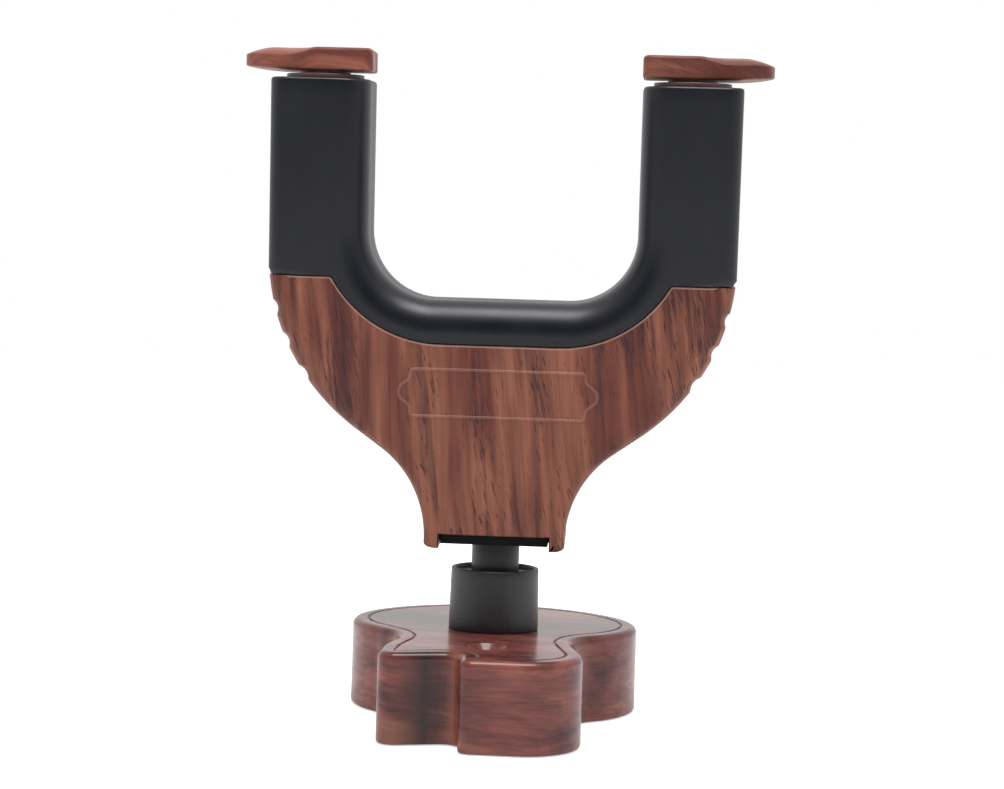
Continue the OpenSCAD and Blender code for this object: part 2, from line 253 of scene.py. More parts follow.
def wood_print(name, along="z", seed=0.0, tone=1.0, marks=1.0, painted_highlight=0.0):
    """Wood-effect print: upright figure, thin darker lines and short open pores."""
    m = Mat(name)
    p = m.p
    if along == "x":
        # turn the figure so that it runs along X
        sep = m.t.nodes.new("ShaderNodeSeparateXYZ")
        m.put(sep, 0, p)
        com = m.t.nodes.new("ShaderNodeCombineXYZ")
        m.put(com, 0, m.math("ADD", sep.outputs[1], m.math("MULTIPLY", sep.outputs[2], 0.8)))
        m.put(com, 1, sep.outputs[2])
        m.put(com, 2, sep.outputs[0])
        p = com.outputs[0]
    else:
        # the flanks carry the same upright figure, laid out along their depth
        sn_ = m.t.nodes.new("ShaderNodeSeparateXYZ")
        m.put(sn_, 0, m.normal)
        flank = m.math("GREATER_THAN", m.math("ABSOLUTE", sn_.outputs[0]), m.math("ABSOLUTE", sn_.outputs[1]))
        sep = m.t.nodes.new("ShaderNodeSeparateXYZ")
        m.put(sep, 0, p)
        shift = m.math("SUBTRACT", m.math("ADD", sep.outputs[1], 23.0), sep.outputs[0])
        com = m.t.nodes.new("ShaderNodeCombineXYZ")
        m.put(com, 0, m.math("MULTIPLY_ADD", flank, shift, sep.outputs[0]))
        m.put(com, 1, m.math("MULTIPLY", sep.outputs[1], m.math("SUBTRACT", 1.0, flank)))
        m.put(com, 2, sep.outputs[2])
        p = com.outputs[0]
    # slow sideways drift of the figure, and a slight slant
    drift = m.noise(p, (0.05, 0.02, 0.016), (seed, 3.1, 7.7), 2.0, 0.5)
    drift = m.math("MULTIPLY", m.math("SUBTRACT", drift, 0.5), 7.0)
    sep = m.t.nodes.new("ShaderNodeSeparateXYZ")
    m.put(sep, 0, p)
    x = m.math("ADD", m.math("ADD", sep.outputs[0], drift), m.math("MULTIPLY", sep.outputs[2], 0.10))
    com = m.t.nodes.new("ShaderNodeCombineXYZ")
    m.put(com, 0, x)
    m.put(com, 1, sep.outputs[1])
    m.put(com, 2, sep.outputs[2])
    q = com.outputs[0]
    band = m.noise(q, (0.11, 0.03, 0.012), (seed + 1.3, 0, 2.2), 3.0, 0.55)
    streak = m.noise(q, (0.75, 0.10, 0.030), (seed + 5.0, 1, 0), 4.0, 0.6)
    fine = m.noise(q, (2.6, 0.5, 0.09), (seed + 9.0, 0, 4), 3.0, 0.6)
    k = tone
    base = m.ramp(band, [(0.32, (0.084 * k, 0.023 * k, 0.017 * k)), (0.44, (0.142 * k, 0.043 * k, 0.030 * k)),
                         (0.56, (0.262 * k, 0.098 * k, 0.062 * k)), (0.68, (0.112 * k, 0.033 * k, 0.025 * k))])
    col = m.mix(0.62, base, m.ramp(streak, [(0.32, (0.55, 0.52, 0.54)), (0.52, (1.0, 1.0, 1.0)), (0.70, (1.18, 1.16, 1.15))]), "MULTIPLY")
    col = m.mix(0.34, col, m.ramp(fine, [(0.35, (0.70, 0.68, 0.70)), (0.6, (1.10, 1.10, 1.10))]), "MULTIPLY")
    # darker veins, and short open pores gathered in and beside them
    group = m.noise(q, (0.115, 0.05, 0.020), (seed + 47.0, 0, 0), 3.0, 0.55)
    vein = m.noise(q, (0.55, 0.2, 0.026), (seed + 52.0, 0, 3), 3.0, 0.6)
    vein = m.ramp(m.math("ADD", m.math("MULTIPLY", group, 0.55), m.math("MULTIPLY", vein, 0.45)), [(0.515, 0.0), (0.59, 1.0)])
    col = m.mix(m.math("MULTIPLY", vein, 0.72 * marks), col, (0.058 * k, 0.021 * k, 0.022 * k))
    slant = m.t.nodes.new("ShaderNodeCombineXYZ")
    m.put(slant, 0, m.math("ADD", x, m.math("MULTIPLY", sep.outputs[2], 0.14)))
    m.put(slant, 1, sep.outputs[1])
    m.put(slant, 2, sep.outputs[2])
    pores = m.noise(slant.outputs[0], (2.5, 0.5, 0.26), (seed + 40.0, 0, 0), 2.0, 0.6)
    cut = m.math("SUBTRACT", pores, m.math("MULTIPLY", m.math("SUBTRACT", 0.545, group), 0.75))
    pore = m.ramp(cut, [(0.575, 0.0), (0.63, 1.0)])
    col = m.mix(m.math("MULTIPLY", pore, 0.82 * marks), col, (0.045 * k, 0.018 * k, 0.017 * k))
    # painted highlight: the print is pulled towards a pale pinkish brown
    if painted_highlight:
        col = m.mix(painted_highlight, col, (0.34, 0.21, 0.175))
    wear = m.noise(p, (0.6, 0.6, 0.6), (3, 3, 3), 4.0, 0.6)
    rough = m.math("MULTIPLY_ADD", wear, 0.14, 0.34)
    h = m.math("ADD", m.math("MULTIPLY", pore, -0.6), m.math("MULTIPLY", streak, 0.25))
    nrm = m.bump(h, 0.25, 0.00006)
    m.set(Base_Color=col, Roughness=rough, Normal=nrm)
    m.put(m.bsdf, "Specular IOR Level", 0.20)
    return m.m


def lacquered(name):
    """Real wood under thick gloss lacquer, the grain running across the block."""
    m = Mat(name)
    p = m.p
    drift = m.noise(p, (0.028, 0.05, 0.06), (2, 1, 4), 2.0, 0.5)
    drift = m.math("MULTIPLY", m.math("SUBTRACT", drift, 0.5), 5.0)
    sep = m.t.nodes.new("ShaderNodeSeparateXYZ")
    m.put(sep, 0, p)
    z = m.math("ADD", m.math("ADD", sep.outputs[2], drift), m.math("MULTIPLY", sep.outputs[0], 0.04))
    com = m.t.nodes.new("ShaderNodeCombineXYZ")
    m.put(com, 0, sep.outputs[0])
    m.put(com, 1, sep.outputs[1])
    m.put(com, 2, z)
    q = com.outputs[0]
    band = m.noise(q, (0.05, 0.09, 0.16), (11, 5, 3), 3.0, 0.55)
    streak = m.noise(q, (0.07, 0.25, 1.1), (1, 8, 5), 4.0, 0.62)
    fine = m.noise(q, (0.22, 1.1, 4.2), (5, 2, 9), 3.0, 0.6)
    base = m.ramp(band, [(0.30, (0.042, 0.012, 0.011)), (0.42, (0.102, 0.027, 0.023)), (0.55, (0.165, 0.046, 0.037)),
                         (0.64, (0.225, 0.072, 0.050)), (0.78, (0.095, 0.026, 0.022))])
    col = m.mix(0.62, base, m.ramp(streak, [(0.30, (0.40, 0.38, 0.38)), (0.52, (1.0, 1.0, 1.0)), (0.70, (1.35, 1.3, 1.25))]), "MULTIPLY")
    col = m.mix(0.45, col, m.ramp(fine, [(0.32, (0.62, 0.6, 0.6)), (0.6, (1.15, 1.15, 1.15))]), "MULTIPLY")
    glow = m.ramp(m.noise(q, (0.03, 0.06, 0.12), (31, 4, 8), 2.0, 0.5), [(0.60, 0.0), (0.70, 0.38)])
    col = m.mix(glow, col, (0.30, 0.125, 0.070))
    # painted shade darkening the horn across its middle, and a painted lit strip, redder, on the cutaway's wall
    sp = m.t.nodes.new("ShaderNodeSeparateXYZ")
    m.put(sp, 0, p)
    front = m.ramp(m.math("MULTIPLY", sp.outputs[1], -0.02), [(0.60, 0.0), (0.68, 1.0)])
    wob = m.math("ADD", sp.outputs[0], m.math("MULTIPLY", streak, 3.0))
    # painted shade: the horn is darker across its middle
    dark = m.math("SUBTRACT", 1.0, m.math("MULTIPLY", m.math("ABSOLUTE", m.math("ADD", wob, 9.6)), 0.17), clamp=True)
    col = m.mix(m.math("MULTIPLY", m.math("MULTIPLY", dark, front), 0.92), col, (0.018, 0.008, 0.008))
    # painted light: the cutaway's wall facing left-front is pulled towards a lit red
    wall = m.math("SUBTRACT", 1.0, m.math("MULTIPLY", m.math("ABSOLUTE", m.math("ADD", sp.outputs[0], 5.4)), 0.55), clamp=True)
    col = m.mix(m.math("MULTIPLY", m.math("MULTIPLY", wall, front), 0.55), col, (0.24, 0.070, 0.040))
    h = m.noise(p, (0.25, 0.25, 0.25), (0, 0, 0), 2.0, 0.5)
    nrm = m.bump(h, 0.05, 0.0004)
    m.set(Base_Color=col, Roughness=m.math("MULTIPLY_ADD", fine, 0.12, 0.40), Coat_Weight=0.85,
          Coat_Roughness=m.math("MULTIPLY_ADD", m.noise(p, (0.5, 0.5, 0.5), (9, 9, 9), 3.0), 0.06, 0.17))
    m.put(m.bsdf, "Specular IOR Level", 0.06)
    m.put(m.bsdf, "Coat IOR", 1.41)
    m.put(m.bsdf, "Coat Normal", nrm)
    return m.m


def rubber(name):
    m = Mat(name)
    grain = m.noise(m.p, (7, 7, 7), (0, 0, 0), 3.0, 0.6)
    blotch = m.noise(m.p, (0.09, 0.09, 0.05), (2, 2, 2), 4.0, 0.6)
    dust = m.ramp(m.noise(m.p, (1.9, 1.9, 1.9), (4, 4, 4), 2.0, 0.5), [(0.70, 0.0), (0.80, 1.0)])
    col = m.ramp(blotch, [(0.3, (0.0034, 0.0041, 0.0080)), (0.7, (0.0064, 0.0072, 0.0118))])
    col = m.mix(m.math("MULTIPLY", dust, 0.25), col, (0.06, 0.062, 0.066))
    rough = m.math("MULTIPLY_ADD", blotch, 0.14, 0.30)
    m.set(Base_Color=col, Roughness=rough, Normal=m.bump(grain, 0.16, 0.00005))
    m.put(m.bsdf, "Specular IOR Level", 0.40)
    return m.m


def black_metal(name, level=0.018, rough0=0.36, shine=0.5, coat=0.15):
    m = Mat(name)
    grain = m.noise(m.p, (9, 9, 9), (0, 0, 0), 2.0, 0.6)
    rub = m.noise(m.p, (0.5, 0.5, 0.35), (7, 1, 3), 4.0, 0.6)
    col = m.ramp(rub, [(0.3, (level, level, level * 1.15)), (0.72, (level * 1.6, level * 1.6, level * 1.8))])
    m.set(Base_Color=col, Metallic=0.0, Roughness=m.math("MULTIPLY_ADD", rub, 0.16, rough0),
          Normal=m.bump(grain, 0.14, 0.00004), Coat_Weight=coat, Coat_Roughness=0.3)
    m.put(m.bsdf, "Specular IOR Level", shine)
    return m.m


def metal(name, colour, rough0=0.26, turned=True):
    m = Mat(name)
    s = (0.6, 0.6, 7.0) if turned else (2.2, 2.2, 2.2)
    g = m.noise(m.p, s, (0, 0, 0), 4.0, 0.65)
    stain = m.noise(m.p, (0.25, 0.25, 0.25), (5, 5, 5), 3.0, 0.6)
    dark = tuple(c * 0.72 for c in colour)
    m.set(Base_Color=m.ramp(stain, [(0.3, dark), (0.65, colour)]), Metallic=1.0,
          Roughness=m.math("MULTIPLY_ADD", g, 0.22, rough0 - 0.08), Normal=m.bump(g, 0.12, 0.00004))
    return m.m


def moulded(name, colour, rough0=0.42):
    m = Mat(name)
    g = m.noise(m.p, (5, 5, 5), (0, 0, 0), 3.0, 0.6)
    s = m.noise(m.p, (0.3, 0.3, 0.3), (1, 6, 2), 3.0, 0.6)
    lo = tuple(c * 0.8 for c in colour)
    m.set(Base_Color=m.ramp(s, [(0.3, lo), (0.7, colour)]), Roughness=m.math("MULTIPLY_ADD", g, 0.12, rough0 - 0.06),
          Normal=m.bump(g, 0.12, 0.00004))
    return m.m


PRINT_F = wood_print("wood_print_front", "z", 0.0)
PRINT_R = wood_print("wood_print_rear", "z", 60.0)
# one print for both gates; the left copy is made lighter (tone 1.4 against 1.1) as painted light on the brighter-lit
# left gate
PRINT_GL = wood_print("wood_print_gate_left", "x", 120.0, 1.4, 0.4)
PRINT_GR = wood_print("wood_print_gate_right", "x", 180.0, 1.1, 0.5)
LACQUER = lacquered("lacquered_wood")
RUBBER = rubber("rubber")
BLACK = black_metal("black_metal", 0.010)
BLACK_HEAD = black_metal("black_head", 0.004, 0.5, 0.14, 0.0)
# brown shaft, its colour darkened as painted shade for the gate's shadow on it
SHAFT_SHADED = moulded("brown_shaft_painted_shade", (0.040, 0.017, 0.014), 0.36)
# the raised frame's print is made paler and lighter: painted highlight along its lines
FRAME_HIGHLIGHT = wood_print("wood_print_ridge_painted_highlight", "z", 0.0, 1.1, 0.6, 0.2)
# the seam's small rounding takes a much paler print: painted highlight along the wood's edge
SEAM_HIGHLIGHT = wood_print("wood_print_seam_painted_highlight", "z", 0.0, 1.2, 0.4, 0.62)
NYLON = moulded("black_nylon", (0.018, 0.018, 0.02))
BROWN = moulded("brown_plastic", (0.13, 0.062, 0.047), 0.36)
STEEL = metal("steel", (0.56, 0.57, 0.58))
ZINC = metal("zinc", (0.66, 0.66, 0.63), 0.3)
CAST = metal("cast_alloy", (0.48, 0.49, 0.50), 0.44, False)

# ------------------------------------------------------------------ base block


def arc(cx, cy, r, a0, a1, n):
    return [(cx + r * cs(a0 + (a1 - a0) * i / n), cy + r * sn(a0 + (a1 - a0) * i / n)) for i in range(n + 1)]


def small(v):
    return v if v > 0.9 else 0.9 * math.exp((v - 0.9) / 0.9)


def guitar(d):
    over = max(0.0, d - 2.5)
    return (
        arc(-0.2, 3.2, 33 - d, 90, 34, 26)
        + arc(10, 10.2, 20.5 - d, 32, -48, 36)
        + arc(28.8, -16.1, 12 + d, 132, 191, 24)
        + arc(7.4, -31.5, 12 - d, 11, -90, 36)
        + arc(-1.7 + over, -41.0 + over, small(2.5 - d), -90, -162, 16)
        + arc(-7.5, -38.5, 3.3 + d, 18, 107, 28)
        + arc(-17.2, -34.3, small(3.4 - d), -73, -180, 20)
        + arc(-8.6, -28, 12 - d, 180, 165, 6)
        + arc(-30.6, -16, 12 + d, -18, 48, 26)
        + arc(-10.4, 10.2, 20.5 - d, 228, 148, 36)
        + arc(-0.2, 3.2, 33 - d, 146, 91, 26)
    )


def build_base():
    s = Shape()
    T = 18.0

    def ring(d, z):
        return s.ring([(x, y, z) for x, y in guitar(d)])

    prof = [(0.55, 0.0), (0.25, 0.08), (0.08, 0.25), (0.0, 0.55), (0.0, 6.0), (0.0, 12.0), (0.0, 16.6)]
    for k in range(1, 9):
        a = 90 * k / 8
        prof.append((1.4 * (1 - cs(a)), 16.6 + 1.4 * sn(a)))
    prof += [(2.2, T), (2.98, T), (3.08, T - 0.06), (3.16, T - 0.3), (3.28, T - 0.5), (3.42, T - 0.55), (3.56, T - 0.5),
             (3.66, T - 0.3), (3.74, T - 0.06), (3.84, T)]
    rings = [ring(d, z) for d, z in prof]
    s.loft(rings)
    top, bottom = rings[-1], rings[0]
    tops, bottoms = [top], [bottom]
    for y in (-25.0, 25.0):
        c0 = s.ring(circle(0, y, T, 4.55))
        c1 = s.ring(circle(0, y, T - 0.12, 4.35))
        c2 = s.ring(circle(0, y, T - 2.15, 2.3))
        c3 = s.ring(circle(0, y, T - 2.6, 2.25))
        c4 = s.ring(circle(0, y, 0.0, 2.25))
        s.loft([c0, c1, c2, c3, c4])
        tops.append(c0)
        bottoms.append(c4)
    hub = s.ring(circle(0, 0, T, 8.6, 64))
    hub2 = s.ring(circle(0, 0, 9.5, 7.05, 64))
    hub1 = s.ring(circle(0, 0, T - 0.3, 7.05, 64))
    s.loft([hub, hub1, hub2])
    tops.append(hub)
    p0 = s.ring(circle(0, 0, 0, 13.0, 64))
    p1 = s.ring(circle(0, 0, 9.5, 13.0, 64))
    s.loft([p0, p1, hub2])
    bottoms.append(p0)
    s.fill(tops)
    s.fill(bottoms)
    ob = s.make("base_block_wood", LACQUER, 40)
    weighted(ob)
    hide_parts("base_block")
    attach(ob, "base")


build_base()

# ------------------------------------------------------------------ yoke shells

SEAM_Z, SEAM_FLAT, SEAM_HALF, SEAM_R = 91.8, 78.6, 12.0, 25.95
R_SIDE = 3.8


def side_profile():
    """Right outline of the yoke's body from the seam down to the ear."""
    a0 = math.degrees(math.asin((96.2 - SEAM_Z + 0.22) / 44))
    pts = [(HALF_W - 44 + 44 * cs(a), 96.2 - 44 * sn(a)) for a in [a0 + (54.7 - a0) * i / 110 for i in range(111)]]
    ex, ez = pts[-1]
    wx, wz = 36.65 + 22 * cs(125.3), 38.45 + 22 * sn(125.3)
    pts += [(ex + (wx - ex) * i / 12, ez + (wz - ez) * i / 12) for i in range(1, 12)]
    pts += [(36.65 + 22 * cs(a), 38.45 + 22 * sn(a)) for a in [125.3 + (180 - 125.3) * i / 40 for i in range(41)]]
    pts += [(14.65, 37.8), (14.65, 37.3), (14.6, 37.0), (14.45, 36.75), (14.2, 36.55), (13.9, 36.4)]
    return pts


def notch(z):
    d = 0.0
    for zc, depth, half in ((85.0, 0.62, 1.5), (78.3, 0.66, 1.5), (71.6, 0.66, 1.5)):
        u = (z - zc) / half
        if abs(u) < 1:
            d += depth * (math.cos(u * math.pi / 2) ** 0.8)
    return d


def side_radius(z):
    u = min(1.0, max(0.0, (z - 40) / 22))
    return 2.2 + (R_SIDE - 2.2) * u * u * (3 - 2 * u)


def seam_line(off):
    """Seam from the right side to the left, moved down by off, with the direction towards the rubber."""
    pts = [((HALF_W - R_SIDE) + (34.6 - HALF_W + R_SIDE) * i / 8, SEAM_Z - off, 0, 1) for i in range(0, 8)]
    cx, cz = SEAM_HALF, SEAM_FLAT + SEAM_R
    a0 = math.degrees(math.atan2(SEAM_Z - cz, 34.6 - cx))
    for i in range(0, 37):
        a = a0 + (-90 - a0) * i / 36
        nx, nz = -cs(a), -sn(a)
        if i == 0:
            nx, nz = nx * 0.7, nz * 0.5 + 0.5
            ln = math.hypot(nx, nz)
            nx, nz = nx / ln, nz / ln
            pts.append((34.6 - nx * off * 1.2, SEAM_Z - nz * off * 1.2, nx, nz))
        else:
            pts.append((cx + (SEAM_R + off) * cs(a), cz + (SEAM_R + off) * sn(a), nx, nz))
    pts += [(SEAM_HALF - SEAM_HALF * i / 4, SEAM_FLAT - off, 0, 1) for i in range(1, 5)]
    left = [(-x, z, -nx, nz) for x, z, nx, nz in reversed(pts[:-1])]
    return pts + left


def build_shell(name, sign, material, node):
    """sign -1 is the half on the -Y side."""
    s = Shape()
    prof = side_profile()
    n = len(prof)
    steps = 9
    cols = {1: [], -1: []}
    for side in (1, -1):
        for i, (x, z) in enumerate(prof):
            a, b = prof[max(0, i - 1)], prof[min(n - 1, i + 1)]
            tx, tz = b[0] - a[0], b[1] - a[1]
            ln = math.hypot(tx, tz)
            nx, nz = tz / ln, -tx / ln
            if i == 0:
                nx, nz = -1.0, 0.0
            if z < 37.0:
                nx, nz = -1.0, 0.0
            r = side_radius(z)
            dn = notch(z)
            col = []
            levels = [(0.0, 0.06), (0.0, HD - r)] + [
                (r * (1 - cs(90 * k / steps)), HD - r + r * sn(90 * k / steps)) for k in range(1, steps + 1)
            ]
            for d, y in levels:
                fade = max(0.0, 1 - d / (r * 0.75))
                off = d + dn * fade
                col.append(s.v((side * (x + nx * off), sign * y, z + nz * off)))
            cols[side].append(col)
        for i in range(n - 1):
            s.strip(cols[side][i], cols[side][i + 1], closed=False)
    # seam: the face's edge, a small rounding, then the gap's wall
    line = seam_line(0.46)
    inner = [s.v((x, sign * HD, z)) for x, z, _, _ in line]
    inner[0] = cols[1][0][-1]
    inner[-1] = cols[-1][0][-1]
    e1 = [s.v((x + nx * 0.24, sign * (HD - 0.09), z + nz * 0.24)) for x, z, nx, nz in line]
    e2 = [s.v((x + nx * 0.44, sign * (HD - 0.34), z + nz * 0.44)) for x, z, nx, nz in line]
    e3 = [s.v((x + nx * 0.44, sign * (HD - 1.8), z + nz * 0.44)) for x, z, nx, nz in line]
    # the rounding along the seam gets the second slot, the painted highlight print
    k0 = len(s.bm.faces)
    s.loft([inner, e1, e2], closed=False)
    s.bm.faces.ensure_lookup_table()
    for f in s.bm.faces[k0:]:
        f.material_index = 1
    s.loft([e2, e3], closed=False)
    for side in (1, -1):
        col = cols[side][0]
        w1 = [s.v((v.co.x * 1000, v.co.y * 1000 * 0.994, SEAM_Z - 0.06)) for v in col]
        w2 = [s.v((v.co.x * 1000 - side * 0.05, v.co.y * 1000 * 0.96, SEAM_Z)) for v in col]
        w3 = [s.v((v.co.x * 1000 - side * 1.7, v.co.y * 1000 * 0.84, SEAM_Z)) for v in col]
        s.loft([col, w1, w2, w3], closed=False)
        k = 0 if side == 1 else -1
        s.face([col[-1], w1[-1], e1[k]])
        s.face([w1[-1], w2[-1], e2[k], e1[k]])
        s.face([w2[-1], w3[-1], e3[k], e2[k]])
    # lower edge: ear, slot, ear
    ear_r = cols[1][-1][-1]
    ear_l = cols[-1][-1][-1]
    x_out = ear_r.co.x * 1000
    low = [(x_out, 36.4, 0, -1), (11.6, 36.4, -0.7, -0.7), (11.6, 39.25, -0.7, -0.7)]
    low += [(11.6 - 23.2 * i / 12, 39.25, 0, -1) for i in range(1, 12)]
    low += [(-11.6, 39.25, 0.7, -0.7), (-11.6, 36.4, 0.7, -0.7), (-x_out, 36.4, 0, -1)]
    g0 = [s.v((x, sign * HD, z + 0.35)) for x, z, _, _ in low]
    g0[0], g0[-1] = ear_r, ear_l
    g1 = [s.v((x + nx * 0.12, sign * (HD - 0.1), z + 0.35 + nz * 0.25)) for x, z, nx, nz in low]
    g2 = [s.v((x + nx * 0.2, sign * (HD - 0.38), z + 0.35 + nz * 0.35)) for x, z, nx, nz in low]
    g3 = [s.v((x + nx * 0.2, sign * (HD - 1.8), z + 0.35 + nz * 0.35)) for x, z, nx, nz in low]
    s.loft([g0, g1, g2, g3], closed=False)
    # ear bottoms and their inner walls, to the middle plane
    for side in (1, -1):
        col = cols[side][-1]
        inn = [s.v((side * 11.42, v.co.y * 1000, 36.4)) for v in col]
        s.strip(col, inn, closed=False)
        up = [s.v((side * 11.42, v.co.y * 1000, 39.2)) for v in col]
        s.strip(inn, up, closed=False)
    loop = [c[-1] for c in cols[1]] + g0[1:-1] + [c[-1] for c in reversed(cols[-1])] + list(reversed(inner[1:-1]))
    loops = [loop]
    if sign == 1:
        for sx in (-1, 1):
            for bx, bz in ((17.5, 57.5), (31.0, 69.0)):
                c0 = s.ring(circle(sx * bx, HD, bz, 3.05, 32, "y"))
                c1 = s.ring(circle(sx * bx, HD - 0.15, bz, 2.85, 32, "y"))
                c2 = s.ring(circle(sx * bx, 7.22, bz, 2.8, 32, "y"))
                c3 = s.ring(circle(sx * bx, 7.22, bz, 1.5, 32, "y"))
                s.loft([c0, c1, c2, c3])
                loops.append(c0)
    s.fill(loops, 0, 2)
    ob = s.make(name, material, 42, lean=True)
    # second slot: the painted highlight print for the seam's rounding
    ob.data.materials.append(SEAM_HIGHLIGHT)
    weighted(ob)
    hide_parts(node)
    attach(ob, "yoke")
    return ob


build_shell("front_shell_print", -1, PRINT_F, "front_shell")
build_shell("rear_shell_print", 1, PRINT_R, "rear_shell")


def build_plaque():
    """Plain raised frame with bowed ends on the front face, no lettering."""
    s = Shape()
    right = [(17.9, 73.45), (17.9, 72.2), (18.0, 71.5), (18.7, 70.8), (19.8, 70.2), (20.35, 69.3), (20.35, 68.0),
             (19.8, 67.1), (18.7, 66.5), (18.0, 65.8), (17.9, 65.1), (17.8, 63.8)]
    path = []

    def seg(a, b, k):
        return [(a[0] + (b[0] - a[0]) * i / k, a[1] + (b[1] - a[1]) * i / k) for i in range(k)]

    left = [(-x, z) for x, z in reversed(right)]
    corners = right + left
    for i in range(len(corners)):
        a, b = corners[i], corners[(i + 1) % len(corners)]
        path += seg(a, b, max(2, int(math.hypot(b[0] - a[0], b[1] - a[1]) / 0.5)))
    n = len(path)
    # soften the path a little
    for _ in range(2):
        path = [((path[i - 1][0] + 2 * path[i][0] + path[(i + 1) % n][0]) / 4,
                 (path[i - 1][1] + 2 * path[i][1] + path[(i + 1) % n][1]) / 4) for i in range(n)]
    sect = [(-0.34, -0.02), (-0.26, 0.08), (-0.13, 0.17), (0.0, 0.19), (0.13, 0.17), (0.26, 0.08), (0.34, -0.02)]
    rings = [[] for _ in sect]
    for i in range(n):
        a, b = path[i - 1], path[(i + 1) % n]
        tx, tz = b[0] - a[0], b[1] - a[1]
        ln = math.hypot(tx, tz) or 1
        nx, nz = tz / ln, -tx / ln
        for k, (u, h) in enumerate(sect):
            rings[k].append(s.v((path[i][0] + nx * u, -HD - h, path[i][1] + nz * u)))
    s.loft(rings)
    # the raised frame takes the paler print, a painted highlight
    ob = s.make("face_frame", FRAME_HIGHLIGHT, 60, lean=True)
    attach(ob, "yoke")


build_plaque()

# ------------------------------------------------------------------ rubber pads

GAP2, CORNER_X, CORNER_R, CORNER_Z = 27.8, 13.8, 14.0, 101.3
R_IN = 6.4


def edge_drop(d, r):
    return 0.0 if d >= r else r - math.sqrt(max(0.0, r * r - (r - d) ** 2))


def reach(ox, oz, dx, dz):
    """Distance from the U's inner edge to the pad's outer boundary, and whether that is the side."""
    best = None
    if dx > 1e-6:
        t = (HALF_W - ox) / dx
        if oz + dz * t >= SEAM_Z + 0.12:
            best = (t, True)
    if best is None and dz < -1e-6:
        t = (SEAM_Z + 0.12 - oz) / dz
        x = ox + dx * t
        if 34.5 <= x <= HALF_W + 0.01:
            best = (t, False)
    if best is None:
        cx, cz, r = SEAM_HALF, SEAM_FLAT + SEAM_R, SEAM_R - 0.12
        fx, fz = ox - cx, oz - cz
        b = fx * dx + fz * dz
        c = fx * fx + fz * fz - r * r
        t = -b + math.sqrt(max(0.0, b * b - c))
        if ox + dx * t < cx:
            t = (SEAM_FLAT + 0.12 - oz) / dz
        best = (t, False)
    return best


def section(ox, oz, dx, dz):
    """Half section of the pad along one ray, as (x, depth, z), from the inner edge outwards."""
    w_end, is_side = reach(ox, oz, dx, dz)
    pts = []

    def add(w, y):
        pts.append((ox + dx * w, y, oz + dz * w))

    rin = min(R_IN, w_end * 0.85)
    for y in (0.05, 0.12):
        add(0.12 if y < 0.1 else 0.0, y)
    add(0.0, (HD - rin) * 0.55)
    add(0.0, HD - rin)
    for k in range(1, 11):
        a = 90 * k / 10
        add(rin * (1 - cs(a)), HD - rin + rin * sn(a))
    tail = []
    for k in range(1, 9):
        tail.append(0.66 * k / 8)
    for k in range(1, 13):
        tail.append(0.66 + 0.34 * sn(90 * k / 12))
    stop = w_end if is_side else w_end - 0.15
    y = HD
    for f in tail:
        w = rin + (stop - rin) * f
        x = ox + dx * w
        y = HD - edge_drop(HALF_W - x, R_SIDE)
        add(w, y)
    if is_side:
        add(w_end, y * 0.8)
        add(w_end, y * 0.5)
        add(w_end, 0.12)
        add(w_end - 0.12, 0.05)
    else:
        add(w_end - 0.04, y - 0.06)
        add(w_end, y - 0.22)
        add(w_end, y - 1.2)
        add(w_end, y - 2.4)
    return pts


def pad_rays():
    rays = []
    z_top = ARM_TOP - 0.65
    for i in range(10):
        rays.append((GAP2, z_top + (CORNER_Z - z_top) * i / 10, 1.0, 0.0))
    for i in range(40):
        a = 90 * i / 40
        rays.append((CORNER_X + CORNER_R * cs(a), CORNER_Z - CORNER_R * sn(a), cs(a), -sn(a)))
    for i in range(0, 7):
        rays.append((CORNER_X - CORNER_X * i / 6, CORNER_Z - CORNER_R, 0.0, -1.0))
    return rays


def build_pad(name, sign, node):
    s = Shape()
    right = [section(*r) for r in pad_rays()]
    rows = [[(x, sign * y, z) for x, y, z in row] for row in right]
    rows += [[(-x, sign * y, z) for x, y, z in row] for row in reversed(right[:-1])]
    vr = [s.ring(row) for row in rows]
    s.loft(vr, closed=False)
    # rounded tops of the arms
    for side, row, first in ((1, rows[0], vr[0]), (-1, rows[-1], vr[-1])):
        prev = first
        for k in range(1, 7):
            a = 90 * k / 6
            d = 0.65 * (1 - cs(a))
            z = ARM_TOP - 0.65 + 0.65 * sn(a)
            cur = []
            for x, y, _ in row:
                cx = side * ARM_X
                cur.append(s.v((cx + (x - cx) * (1 - d / 10.5), y * (1 - d / 11.0), z)))
            s.strip(prev, cur, closed=False)
            prev = cur
        s.face(prev)
    ob = s.make(name, RUBBER, 50, lean=True)
    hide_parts(node)
    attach(ob, "yoke")


build_pad("front_pad_rubber", -1, "front_pad")
build_pad("rear_pad_rubber", 1, "rear_pad")

# ------------------------------------------------------------------ gates


def spline(ctrl, per=10):
    out = []
    n = len(ctrl)
    for i in range(n - 1):
        p0 = ctrl[max(0, i - 1)]
        p1, p2 = ctrl[i], ctrl[i + 1]
        p3 = ctrl[min(n - 1, i + 2)]
        for k in range(per):
            t = k / per
            out.append(tuple(
                0.5 * ((2 * p1[c]) + (-p0[c] + p2[c]) * t + (2 * p0[c] - 5 * p1[c] + 4 * p2[c] - p3[c]) * t * t
                       + (-p0[c] + 3 * p1[c] - 3 * p2[c] + p3[c]) * t ** 3)
                for c in (0, 1)))
    out.append(ctrl[-1])
    return out


